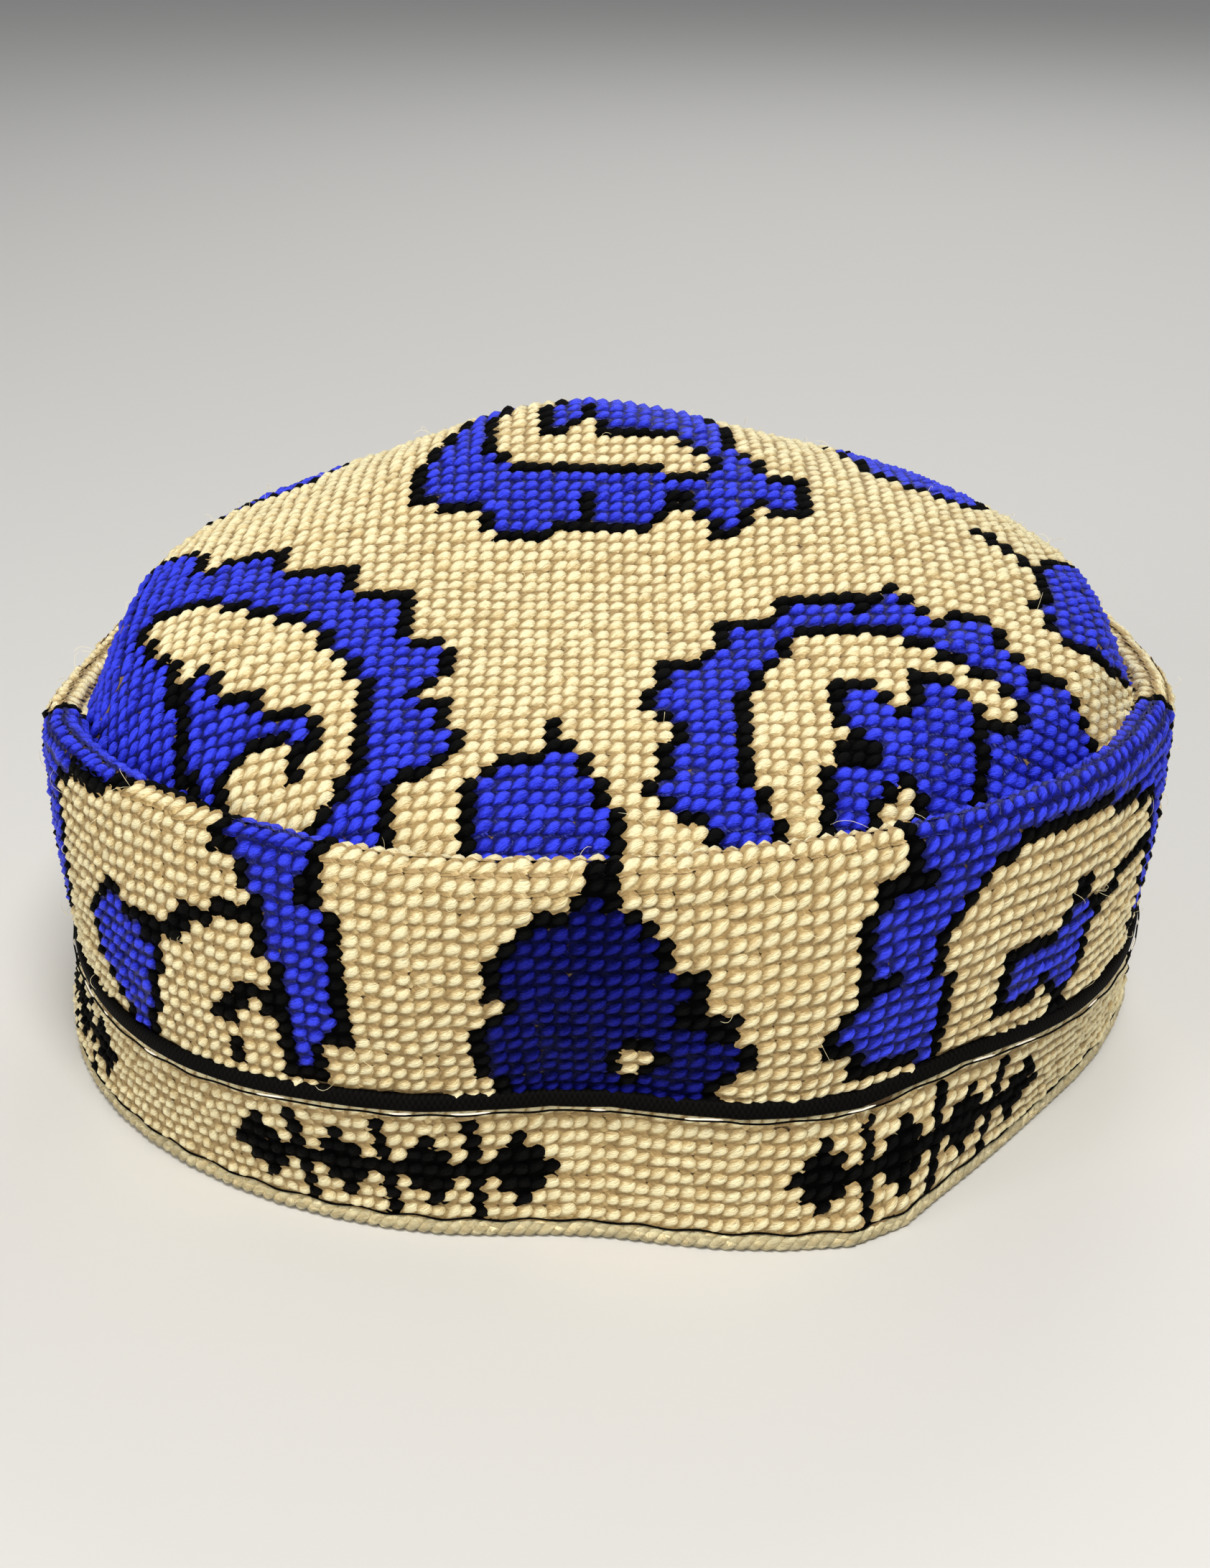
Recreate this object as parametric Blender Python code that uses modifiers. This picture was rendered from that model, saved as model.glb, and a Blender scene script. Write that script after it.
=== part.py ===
"""Tubeteika skullcap, worked all over in cross stitch on canvas.

The crown and its side wall are one cloth, folded over along the crease. A black braid covers the join to
the embroidered band, and a corded piping closes the band's lower edge. The cap stands on that piping.
Metres, +Z up, the front at -Y, the origin under the middle of the cap on the surface it rests on.
"""

import math

import bmesh
import bpy
import numpy as np

MM = 0.001

# Driving sizes
REACH = 94.0 * MM  # from the axis to the outside of the cloth, at the sides
PIPING_RADIUS = 1.5 * MM
BAND_HEIGHT = 23.5 * MM
WALL_HEIGHT = 41.5 * MM  # from the join up to the top of the crease
CROWN_RISE = 30.0 * MM  # from the crease up to the peak
PEAK_SIDE = -4.0 * MM  # the peak's place, to the right of the axis
PEAK_BACK = 30.0 * MM  # and behind it
CLOTH = 2.2 * MM  # canvas with its stitches
CREASE_RADIUS = 2.8 * MM  # the rounding of the cloth over the crease
FOLD_DEPTH = 7.0 * MM  # how far the cloth dips behind the crease
FOLD_WIDTH = 3.0 * MM  # from the crease's inner side to the bottom of the dip
BRAID_HEIGHT = 3.6 * MM
BRAID_THICKNESS = 1.0 * MM
BRAID_BELOW_JOIN = 0.8 * MM
SEWN_GAP = 0.3 * MM  # clearance between pieces that are sewn together
TURNED_EDGE = 1.0 * MM  # each sewn edge stands upright for this height
COLUMNS = 60  # facets around the cap
PIPING_SIDES = 8

PIPING_TOP = 2 * PIPING_RADIUS * math.cos(math.pi / PIPING_SIDES)
BAND_BOTTOM = PIPING_TOP + SEWN_GAP
CREASE_TOP = BAND_BOTTOM + BAND_HEIGHT + WALL_HEIGHT
PEAK_TOP = CREASE_TOP + CROWN_RISE

# The cap's sections, anticlockwise from its right side: one row for each corner or hollow of its outline.
# hem, join and crease are the cloth's distance from the axis, as shares of REACH. low is how far the join
# sags, as a share of BAND_HEIGHT. belly is how far the wall swells between join and crease, and drop how far
# the crease sags, as shares of WALL_HEIGHT. dip is a share of FOLD_DEPTH, and of FOLD_WIDTH. haunch, spring,
# shoulder, middle and upper are the crown's height over the crease's top, as shares of CROWN_RISE, at
# CROWN_STATIONS.
COLUMN_NAMES = (
    "azimuth", "hem", "join", "crease", "low", "belly", "drop", "dip",
    "haunch", "spring", "shoulder", "middle", "upper",
)
SECTIONS = (
    (0, 0.985, 0.965, 0.962, 0.170, 0.02, 0.07, 0.30, 0.25, 0.40, 0.60, 0.76, 0.92),
    (24, 0.975, 0.960, 0.955, 0.170, 0.02, 0.09, 0.40, 0.16, 0.34, 0.56, 0.74, 0.92),
    (48, 0.945, 0.940, 0.940, 0.160, 0.02, 0.08, 0.60, 0.08, 0.27, 0.50, 0.70, 0.91),
    (74, 0.890, 0.890, 0.910, 0.150, 0.02, 0.06, 0.80, 0.02, 0.21, 0.44, 0.68, 0.91),
    (102, 0.875, 0.880, 0.900, 0.150, 0.02, 0.06, 0.80, 0.02, 0.21, 0.44, 0.68, 0.91),
    (130, 0.935, 0.925, 0.930, 0.150, 0.02, 0.09, 0.60, 0.08, 0.25, 0.46, 0.70, 0.92),
    (156, 0.985, 0.960, 0.948, 0.170, 0.02, 0.11, 0.40, 0.14, 0.31, 0.50, 0.72, 0.94),
    (180, 1.005, 0.965, 0.945, 0.190, 0.02, 0.11, 0.30, 0.22, 0.37, 0.52, 0.73, 0.945),
    (204, 0.988, 0.980, 1.012, 0.180, 0.02, 0.03, 0.50, 0.09, 0.28, 0.46, 0.66, 0.90),
    (229, 0.936, 0.988, 1.008, 0.100, 0.03, 0.00, 0.85, -0.03, 0.15, 0.35, 0.55, 0.84),
    (249, 0.883, 0.948, 1.000, 0.035, 0.04, 0.00, 1.00, -0.06, 0.09, 0.27, 0.47, 0.80),
    (268, 0.837, 0.862, 0.967, 0.040, 0.05, 0.00, 1.00, -0.08, 0.07, 0.25, 0.45, 0.79),
    (284, 0.900, 0.928, 0.947, 0.055, 0.05, 0.00, 1.00, -0.07, 0.08, 0.26, 0.46, 0.79),
    (296, 0.948, 0.930, 0.957, 0.045, 0.04, 0.00, 1.00, -0.04, 0.11, 0.29, 0.50, 0.81),
    (308, 0.902, 0.931, 0.974, 0.050, 0.03, 0.00, 0.90, 0.00, 0.17, 0.37, 0.58, 0.83),
    (326, 0.884, 0.945, 0.993, 0.130, 0.02, 0.01, 0.60, 0.10, 0.27, 0.49, 0.68, 0.87),
    (344, 0.933, 0.955, 0.990, 0.170, 0.02, 0.03, 0.35, 0.21, 0.36, 0.57, 0.74, 0.90),
)
# Where those five heights are met, as shares of the way from the bottom of the dip to the peak
CROWN_STATIONS = {"haunch": 0.05, "spring": 0.13, "shoulder": 0.30, "middle": 0.55, "upper": 0.80}

# Rings of the shell, chosen close together where the cloth bends
WALL_RINGS = (0.0, 0.26, 0.52, 0.76)  # shares of the straight wall under the crease
CREASE_RINGS = (0, 45, 90, 135, 180)  # degrees over the rounding, from the outer to the inner side
CROWN_RINGS = (0.02, 0.055, 0.12, 0.20, 0.31, 0.43, 0.56, 0.69, 0.81, 0.91, 0.97)
BAND_RINGS = (0.0, 0.35, 0.7, 1.0)  # shares of the band's height between its turned edges


def hermite(knots, values, slopes, where):
    """Cubic through the values at the knots, with the given slopes there. The values may be arrays."""
    index = np.clip(np.searchsorted(knots, where, side="right") - 1, 0, len(knots) - 2)
    span = knots[index + 1] - knots[index]
    t = (where - knots[index]) / span
    rise = 3 * t**2 - 2 * t**3
    curl_in = (t**3 - 2 * t**2 + t) * span
    curl_out = (t**3 - t**2) * span
    start, end = values[index], values[index + 1]
    return start * (1 - rise) + end * rise + slopes[index] * curl_in + slopes[index + 1] * curl_out


def section_table(azimuths):
    """Each column of SECTIONS, carried smoothly round the cap to the given azimuths, as a dict of arrays."""
    rows = np.array(SECTIONS)
    knots = np.radians(np.concatenate([rows[-2:, 0] - 360, rows[:, 0], rows[:2, 0] + 360]))
    columns = {}
    for place, name in enumerate(COLUMN_NAMES[1:], start=1):
        values = np.concatenate([rows[-2:, place], rows[:, place], rows[:2, place]])
        slopes = np.gradient(values, knots)
        columns[name] = hermite(knots, values, slopes, azimuths)
    return columns


def polar_ring(azimuths, reach, height):
    """Points round the axis at the given distances and heights."""
    return np.stack([reach * np.cos(azimuths), reach * np.sin(azimuths), height + np.zeros_like(azimuths)], axis=1)


def wall_reach(table, share):
    """Distance from the axis to the outside of the wall, at a share of the way from join to crease."""
    straight = table["join"] + (table["crease"] - table["join"]) * share
    return straight * REACH + table["belly"] * WALL_HEIGHT * np.sin(math.pi * share)


def band_reach(table, share):
    """Distance from the axis to the outside of the band, at a share of the way from hem to join."""
    return (table["hem"] + (table["join"] - table["hem"]) * share) * REACH


def band_height(table):
    """Height of the band, from the gap over the piping up to the join."""
    return BAND_HEIGHT * (1 - table["low"])


def join_height(table):
    """Height of the join of band and wall."""
    return BAND_BOTTOM + band_height(table)


def crease_height(table):
    """Height of the crease's top edge."""
    return CREASE_TOP - table["drop"] * WALL_HEIGHT


def crown_height(table, share):
    """Height of the crown's outside, at a share of the way from the bottom of the dip to the peak."""
    dip = (crease_height(table) - table["dip"] * FOLD_DEPTH - CREASE_TOP) / CROWN_RISE
    knots = np.array([0.0, *CROWN_STATIONS.values(), 1.0])
    values = np.stack([dip, *(table[name] for name in CROWN_STATIONS), np.ones_like(dip)])
    slopes = np.gradient(values, knots, axis=0)
    slopes[-1] = 0
    return CREASE_TOP + CROWN_RISE * hermite(knots, values, slopes, share)


def shell_rings(azimuths):
    """Rings of the outside of wall and crown, from the join up over the crease and in to the peak."""
    table = section_table(azimuths)
    wall_bottom = join_height(table) + SEWN_GAP / 2 + TURNED_EDGE
    wall_top = crease_height(table) - CREASE_RADIUS
    rings = [polar_ring(azimuths, wall_reach(table, 0.0), wall_bottom - TURNED_EDGE)]
    for share in WALL_RINGS:
        rings.append(polar_ring(azimuths, wall_reach(table, share), wall_bottom + (wall_top - wall_bottom) * share))
    crease = table["crease"] * REACH
    for degrees in CREASE_RINGS:
        turn = math.radians(degrees)
        reach = crease - CREASE_RADIUS + CREASE_RADIUS * math.cos(turn)
        rings.append(polar_ring(azimuths, reach, wall_top + CREASE_RADIUS * math.sin(turn)))
    inner_side = crease - 2 * CREASE_RADIUS
    dip = crease_height(table) - table["dip"] * FOLD_DEPTH
    width = table["dip"] * FOLD_WIDTH
    rings.append(polar_ring(azimuths, inner_side - 0.2 * width, 0.3 * wall_top + 0.7 * dip))
    bottom = polar_ring(azimuths, inner_side - width, dip)
    rings.append(bottom)
    peak = np.array([PEAK_SIDE, PEAK_BACK, PEAK_TOP])
    for share in CROWN_RINGS:
        ring = bottom + (peak - bottom) * share
        ring[:, 2] = crown_height(table, share)
        rings.append(ring)
    return rings, peak


def braid_rings(azimuths):
    """Rings of the surface that the braid lies on, upward from its lower edge."""
    table = section_table(azimuths)
    join = join_height(table)
    rings = []
    for height in (-BRAID_BELOW_JOIN, 0.0, BRAID_HEIGHT - BRAID_BELOW_JOIN):
        if height > 0:
            reach = wall_reach(table, height / (crease_height(table) - CREASE_RADIUS - join))
        else:
            reach = band_reach(table, 1 + height / band_height(table))
        rings.append(polar_ring(azimuths, reach + SEWN_GAP, join + height))
    return rings


def plan_centre(azimuths):
    """Middle of the cap's outline in plan, from the rings that stand out most."""
    table = section_table(azimuths)
    piping = polar_ring(azimuths, table["hem"] * REACH, PIPING_RADIUS)
    crease = polar_ring(azimuths, table["crease"] * REACH, CREASE_TOP)
    braid = braid_rings(azimuths)[-1]
    braid[:, :2] *= 1 + BRAID_THICKNESS / REACH
    outline = np.concatenate([piping, braid, crease])
    return np.array([*(outline[:, :2].max(axis=0) + outline[:, :2].min(axis=0)) / 2, 0.0])


def cloth_material(name, colour, roughness):
    """A plain dull finish in one colour."""
    material = bpy.data.materials.new(name)
    material.use_nodes = True
    shader = material.node_tree.nodes["Principled BSDF"]
    shader.inputs["Base Color"].default_value = (*colour, 1.0)
    shader.inputs["Roughness"].default_value = roughness
    shader.inputs["Metallic"].default_value = 0.0
    material.diffuse_color = (*colour, 1.0)
    return material


def skin(rings, peak=None):
    """An open surface through rings of equal length, closed at the top by a fan to the peak if there is one."""
    net = bmesh.new()
    rows = [[net.verts.new(point) for point in ring] for ring in rings]
    count = len(rows[0])
    for lower, upper in zip(rows, rows[1:]):
        for i in range(count):
            j = (i + 1) % count
            net.faces.new((lower[i], lower[j], upper[j], upper[i]))
    if peak is not None:
        tip = net.verts.new(peak)
        for i in range(count):
            net.faces.new((rows[-1][i], rows[-1][(i + 1) % count], tip))
    return net


def cloth_piece(name, rings, thickness, material, peak=None, outward=False):
    """A sewn piece: an open surface through its rings, thickened inward, or outward from the surface it lies on."""
    mesh = bpy.data.meshes.new(name)
    net = skin(rings, peak)
    net.to_mesh(mesh)
    net.free()
    mesh.shade_smooth()
    mesh.set_sharp_from_angle(angle=math.radians(50))
    mesh.materials.append(material)
    piece = bpy.data.objects.new(name, mesh)
    solidify = piece.modifiers.new("cloth", "SOLIDIFY")
    solidify.thickness = thickness
    solidify.offset = 1.0 if outward else -1.0
    solidify.use_even_offset = True
    return piece


def make_crown(azimuths, centre):
    """Crown and side wall in one cloth, hollow, open below."""
    rings, peak = shell_rings(azimuths)
    ecru = cloth_material("ecru_stitching", (0.72, 0.60, 0.38), 0.85)
    return cloth_piece("crown", [ring - centre for ring in rings], CLOTH, ecru, peak=peak - centre)


def make_band(azimuths, centre):
    """The embroidered band round the opening, sewn to the wall's lower edge."""
    table = section_table(azimuths)
    bottom = BAND_BOTTOM + TURNED_EDGE
    top = join_height(table) - SEWN_GAP / 2 - TURNED_EDGE
    rings = [polar_ring(azimuths, band_reach(table, 0.0), BAND_BOTTOM) - centre]
    for share in BAND_RINGS:
        rings.append(polar_ring(azimuths, band_reach(table, share), bottom + (top - bottom) * share) - centre)
    rings.append(polar_ring(azimuths, band_reach(table, 1.0), top + TURNED_EDGE) - centre)
    ecru = cloth_material("ecru_band_stitching", (0.70, 0.58, 0.37), 0.85)
    return cloth_piece("brim_band", rings, CLOTH, ecru)


def make_braid(azimuths, centre):
    """The flat black braid laid over the join."""
    rings = [ring - centre for ring in braid_rings(azimuths)]
    black = cloth_material("black_braid", (0.012, 0.011, 0.012), 0.6)
    return cloth_piece("black_braid", rings, BRAID_THICKNESS, black, outward=True)


def make_piping(azimuths, centre):
    """The corded edge under the band, with a flat facet on the surface it rests on."""
    table = section_table(azimuths)
    path = polar_ring(azimuths, table["hem"] * REACH - PIPING_RADIUS, PIPING_TOP / 2) - centre
    curve = bpy.data.curves.new("edge_piping", "CURVE")
    curve.dimensions = "3D"
    curve.twist_mode = "Z_UP"
    curve.bevel_depth = PIPING_RADIUS
    curve.bevel_resolution = (PIPING_SIDES - 4) // 2
    spline = curve.splines.new("POLY")
    spline.points.add(len(path) - 1)
    for point, place in zip(spline.points, path):
        point.co = (*place, 1.0)
        point.tilt = math.pi / PIPING_SIDES
    spline.use_cyclic_u = True
    curve.materials.append(cloth_material("ecru_piping", (0.74, 0.63, 0.42), 0.8))
    return bpy.data.objects.new("edge_piping", curve)


def main():
    for obj in list(bpy.data.objects):
        bpy.data.objects.remove(obj)
    collection = bpy.data.collections.new("tubeteika")
    bpy.context.scene.collection.children.link(collection)
    azimuths = np.radians(np.arange(COLUMNS) * 360.0 / COLUMNS)
    centre = plan_centre(azimuths)
    cap = bpy.data.objects.new("cap", None)
    collection.objects.link(cap)
    for make in (make_crown, make_band, make_braid, make_piping):
        piece = make(azimuths, centre)
        piece.parent = cap
        collection.objects.link(piece)


main()
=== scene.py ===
import math

import bpy
import numpy as np
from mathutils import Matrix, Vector
from mathutils.bvhtree import BVHTree


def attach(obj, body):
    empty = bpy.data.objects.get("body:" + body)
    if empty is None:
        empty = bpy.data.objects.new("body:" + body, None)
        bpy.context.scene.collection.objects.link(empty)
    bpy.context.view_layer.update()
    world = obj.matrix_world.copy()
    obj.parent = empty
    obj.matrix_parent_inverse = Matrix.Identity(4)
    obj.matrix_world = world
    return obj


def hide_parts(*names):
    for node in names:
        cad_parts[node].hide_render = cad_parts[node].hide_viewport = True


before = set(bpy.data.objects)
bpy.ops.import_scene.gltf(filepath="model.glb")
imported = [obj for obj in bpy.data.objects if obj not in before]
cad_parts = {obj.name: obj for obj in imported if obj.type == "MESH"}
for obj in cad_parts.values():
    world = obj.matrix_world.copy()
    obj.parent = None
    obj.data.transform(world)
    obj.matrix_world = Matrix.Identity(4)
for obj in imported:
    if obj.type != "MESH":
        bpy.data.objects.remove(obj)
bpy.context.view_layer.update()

MM = 0.001


# The camera stands about 0.4 metres in front of the cap and looks down on it.
CAMERA_PLACE = (0.08 * MM, -359.8 * MM, 208.0 * MM)
LOOK_DOWN = 25.0  # degrees
LENS, SENSOR = 52.75, 36.0  # millimetres
camera_data = bpy.data.cameras.new("camera")
camera_data.sensor_width = SENSOR
camera_data.lens = LENS
camera_data.clip_start = 0.01
camera = bpy.data.objects.new("camera", camera_data)
camera.location = CAMERA_PLACE
camera.rotation_euler = (math.radians(90 - LOOK_DOWN), 0, 0)
bpy.context.scene.collection.objects.link(camera)
bpy.context.scene.camera = camera


# The crown and side wall are one canvas, folded over at the crease and worked all over in slanting silk
# stitches, one to each crossing of the canvas. The solid carries the canvas: its outside is where the
# stitches lie, and its inside is the back of the cloth.
class Socket:
    """A shader value that ordinary arithmetic can be done on."""

    tree = None

    def __init__(self, source):
        self.source = source

    @classmethod
    def node(cls, kind, inputs=None, output=0, **settings):
        made = cls.tree.nodes.new(kind)
        for key, value in settings.items():
            setattr(made, key, value)
        for key, value in (inputs or {}).items():
            if isinstance(value, Socket):
                cls.tree.links.new(value.source, made.inputs[key])
            else:
                made.inputs[key].default_value = value
        return cls(made.outputs[output])

    def maths(self, operation, *others, flip=False):
        values = [*others, self] if flip else [self, *others]
        return Socket.node("ShaderNodeMath", dict(enumerate(values)), operation=operation)

    def __add__(self, other):
        return self.maths("ADD", other)

    def __sub__(self, other):
        return self.maths("SUBTRACT", other)

    def __rsub__(self, other):
        return self.maths("SUBTRACT", other, flip=True)

    def __mul__(self, other):
        return self.maths("MULTIPLY", other)

    def __pow__(self, other):
        return self.maths("POWER", other)

    def __abs__(self):
        return self.maths("ABSOLUTE")

    def sine(self):
        return self.maths("SINE")

    def above(self, level):
        return self.maths("GREATER_THAN", level)

    def span(self, low, high, to_low=0.0, to_high=1.0):
        numbers = {"From Min": low, "From Max": high, "To Min": to_low, "To Max": to_high}
        return Socket.node("ShaderNodeMapRange", {"Value": self, **numbers})


def blend(share, first, second):
    """A colour part way from the first to the second, each a Socket or three numbers."""
    mix = Socket.tree.nodes.new("ShaderNodeMix")
    mix.data_type = "RGBA"
    factor, first_input, second_input, result = mix.inputs[0], mix.inputs[6], mix.inputs[7], mix.outputs[2]
    Socket.tree.links.new(share.source, factor)
    for colour, socket in ((first, first_input), (second, second_input)):
        if isinstance(colour, Socket):
            Socket.tree.links.new(colour.source, socket)
        else:
            socket.default_value = (*colour, 1.0)
    return Socket(result)


def attribute(name):
    """A value that the mesh carries on its vertices."""
    return Socket.node("ShaderNodeAttribute", output="Fac", attribute_name=name)


def bump(height, strength, distance):
    return Socket.node("ShaderNodeBump", {"Height": height, "Strength": strength, "Distance": distance})


def new_material(name, **constants):
    """A Principled material whose fixed values are set on its own sockets. Returns it with its shader."""
    material = bpy.data.materials.new(name)
    material.use_nodes = True
    Socket.tree = material.node_tree
    shader = material.node_tree.nodes["Principled BSDF"]
    for key, value in constants.items():
        shader.inputs[key.replace("_", " ")].default_value = value
    return material, shader


def plug(shader, **values):
    """Links values to the shader's inputs, named with _ for a space."""
    for key, value in values.items():
        Socket.tree.links.new(value.source, shader.inputs[key.replace("_", " ")])


def place():
    """x, y and z of the shaded point, in millimetres, and the point itself."""
    point = Socket.node("ShaderNodeNewGeometry", output="Position")
    parts = [Socket.node("ShaderNodeSeparateXYZ", {0: point}, output=axis) * (1 / MM) for axis in range(3)]
    return parts, point


def way_round(x, y):
    """Distance round the cap, in millimetres, taken at its mean reach of 90 mm."""
    return Socket.node("ShaderNodeMath", {0: y, 1: x}, operation="ARCTAN2") * 90.0


# The floss's filaments over a stitch: how many lie side by side, how far they slant, how often they break,
# and how far apart the noise of two tones lies
FILAMENTS, FILAMENT_SLANT, FILAMENT_BREAKS, TONE_SHIFT = 7.5, 3.0, 2.2, 61.0


def silk(name, painted_shade, full, painted_highlight, roughness, specular, tint=(1.0, 1.0, 1.0)):
    """Stitches of silk floss: fine filaments along each stitch, a tone of its own, a painted highlight on the full
    head and painted shade down the flanks and where it dives."""
    material, shader = new_material(name, Roughness=roughness, Specular_IOR_Level=specular)
    shader.inputs["Specular Tint"].default_value = (*tint, 1.0)
    along, across, tone = attribute("along"), attribute("across"), attribute("tone")
    parts = {0: across * FILAMENTS + along * FILAMENT_SLANT, 1: along * FILAMENT_BREAKS, 2: tone * TONE_SHIFT}
    spread = Socket.node("ShaderNodeCombineXYZ", parts)
    filament = Socket.node("ShaderNodeTexNoise", {"Vector": spread, "Scale": 1.0, "Detail": 4.0}, output="Fac")
    from_lit_head = abs(across + 0.1) ** 2.0 + abs(along - 0.3) ** 2.0
    wander = filament - 0.5
    # Painted highlight: lighter towards each stitch's head
    colour = blend((from_lit_head + wander * 1.7 - (tone - 0.5) * 0.6).span(0.05, 0.80), painted_highlight, full)
    # Painted shade: darker down the flanks and towards the ends, where the stitch dives
    colour = blend((from_lit_head + wander * 1.2).span(0.30, 1.25), colour, painted_shade)
    plug(shader, Base_Color=colour, Normal=bump(filament, 0.85, 0.5 * MM))
    material.diffuse_color = (*full, 1.0)
    return material


# Each silk's painted shade where it dives, its own colour over its body, and its painted highlight on its head
ECRU_TONES = (0.34, 0.225, 0.085), (0.72, 0.55, 0.26), (0.97, 0.87, 0.54)
BLUE_TONES = (0.001, 0.001, 0.07), (0.007, 0.009, 0.37), (0.04, 0.06, 0.92)
# These tones are the blue silk's, darkened as painted shade for the bud on the front wall
SHADED_BLUE_TONES = (0.0002, 0.0002, 0.018), (0.0006, 0.0006, 0.065), (0.008, 0.010, 0.22)
BLACK_TONES = (0.0005, 0.0005, 0.0005), (0.0016, 0.0015, 0.0014), (0.005, 0.005, 0.005)
BLUE_SHEEN = (0.35, 0.42, 1.0)
ecru_silk = silk("ecru_silk", *ECRU_TONES, roughness=0.5, specular=0.4)
blue_silk = silk("blue_silk", *BLUE_TONES, roughness=0.42, specular=0.5, tint=BLUE_SHEEN)
shaded_blue_silk = silk("shaded_blue_silk", *SHADED_BLUE_TONES, roughness=0.36, specular=0.12, tint=BLUE_SHEEN)
black_silk = silk("black_silk", *BLACK_TONES, roughness=0.5, specular=0.015)


WARP_PITCH, WEFT_PITCH = 1.21, 1.3  # of the canvas's threads, two to a stitch, in millimetres
CREASE_BEGINS = 35.0  # the height in millimetres over which the cloth folds over, and is told apart by its slope


def canvas_material():
    """Plain cotton canvas: an even weave of round threads, painted a dark brown shade outside, where it lies
    between stitches.
    """
    material, shader = new_material("canvas", Roughness=0.9)
    (x, y, z), point = place()
    normal = Socket.node("ShaderNodeNewGeometry", output="Normal")
    away = {0: x, 1: y, 2: (z - CREASE_BEGINS).maths("MAXIMUM", 0.0) * 5.0}
    facing = {0: normal, 1: Socket.node("ShaderNodeCombineXYZ", away)}
    outside = Socket.node("ShaderNodeVectorMath", facing, output="Value", operation="DOT_PRODUCT").above(0.0)
    turn = way_round(x, y)
    level = Socket.node("ShaderNodeSeparateXYZ", {0: normal}, output="Z")
    flat = abs(level).above(0.6)
    warp = flat * x + (1.0 - flat) * turn
    weft = flat * y + (1.0 - flat) * z
    weave = abs((warp * (math.pi / WARP_PITCH)).sine()) * 0.5 + abs((weft * (math.pi / WEFT_PITCH)).sine()) * 0.5
    pairs = (warp * (math.pi / 2 / WARP_PITCH) + weft * 0.35).sine() * (weft * (math.pi / 2 / WEFT_PITCH)).sine()
    stain = Socket.node("ShaderNodeTexNoise", {"Vector": point, "Scale": 60.0, "Detail": 4.0}, output="Fac")
    inner = blend(weave, (0.50, 0.42, 0.29), (0.74, 0.67, 0.52))
    inner = blend(stain.span(0.35, 0.75) * 0.4, inner, (0.62, 0.50, 0.31))
    # Outside, between the stitches, the canvas takes a dark brown painted shade in place of its own colour
    colour = blend(outside, inner, (0.16, 0.10, 0.045))
    plug(shader, Base_Color=colour, Normal=bump(weave + pairs * 0.5, 0.7, 0.4 * MM))
    return material


canvas = canvas_material()
for name in ("crown", "brim_band"):
    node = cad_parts[name]
    for material_slot in node.material_slots:
        material_slot.material = canvas


def tree_of(name):
    """The node's surface, for finding where a stitch lies."""
    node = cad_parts[name]
    mesh = node.data
    corners = [node.matrix_world @ v.co for v in mesh.vertices]
    return BVHTree.FromPolygons(corners, [tuple(p.vertices) for p in mesh.polygons])


AXIS = np.array([0.94, 3.20]) * MM  # the upright line that all directions are taken from
PEAK = AXIS + np.array([-4.0, 30.0]) * MM
COLUMN, CROWN_ROW, WALL_ROW = 2.42 * MM, 2.62 * MM, 2.53 * MM  # from one stitch to the next
WALL_ROWS = 16  # the crease lies this many rows over the figures' foot
FIRST_ROW, TOP_ROW = -3, 21  # all the rows that the wall may have, down to the braid and in over the crease
TURNINGS = 120  # directions in which the surface is sounded, anticlockwise from straight right
FAR = 0.2  # metres, well outside the cap, where a sounding starts
crown_tree = tree_of("crown")


def direction(turn):
    """The level direction at an angle from straight right."""
    return Vector((math.cos(turn), math.sin(turn), 0))


def sound_inward(tree, turn, height):
    """The first point of a surface met on the way in to the axis, or None."""
    out = direction(turn)
    return tree.ray_cast(Vector((*AXIS, height)) + out * FAR, -out)[0]


def sound_down(start):
    """The first point of the crown's cloth met on the way down, or None."""
    return crown_tree.ray_cast(start, Vector((0, 0, -1)))[0]


def round_axis(reach, angle, level, centre=AXIS):
    """Points at a reach from the axis in each direction, and at a height, as rows of x, y and z."""
    return np.stack([centre[0] + reach * np.cos(angle), centre[1] + reach * np.sin(angle), level], axis=1)


def full_circle(values):
    """The values with the first one repeated at the end."""
    return np.append(values, values[0])


def evenly_round(points):
    """So many angles at even steps of a full circle."""
    return np.linspace(0, 2 * math.pi, points, endpoint=False)


def at_turn(table, turn):
    """Values between those of a table with one for each direction sounded."""
    return np.interp(turn, np.arange(TURNINGS + 1), full_circle(table))


def ring_table(tree, heights):
    """Distance of the outside from the axis, for each direction and each of its heights."""
    reach = np.zeros(heights.shape)
    for i in range(TURNINGS):
        turn = 2 * math.pi * i / TURNINGS
        for j, height in enumerate(heights[i]):
            hit = sound_inward(tree, turn, height) or sound_inward(crown_tree, turn, height)
            reach[i, j] = math.hypot(hit.x - AXIS[0], hit.y - AXIS[1])
    return reach


# How far the braid runs over the middle of its seat, in millimetres, by direction in degrees from straight right
BRAID_LIFT = np.array([
    (0, 0.4), (215, 0.5), (226, 0.6), (243, 1.4), (257, 1.1), (270, 1.0), (281, 1.2), (289, 0.2), (294, -0.5),
    (299, 0.6), (306, 1.6), (321, 0.8), (340, 0.4),
])
BRAID_HALF = 1.3 * MM
BRAID_SOUNDINGS, BRAID_WINDOW = 60, 0.06  # directions in which its solid is measured, and half a window in radians


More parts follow.
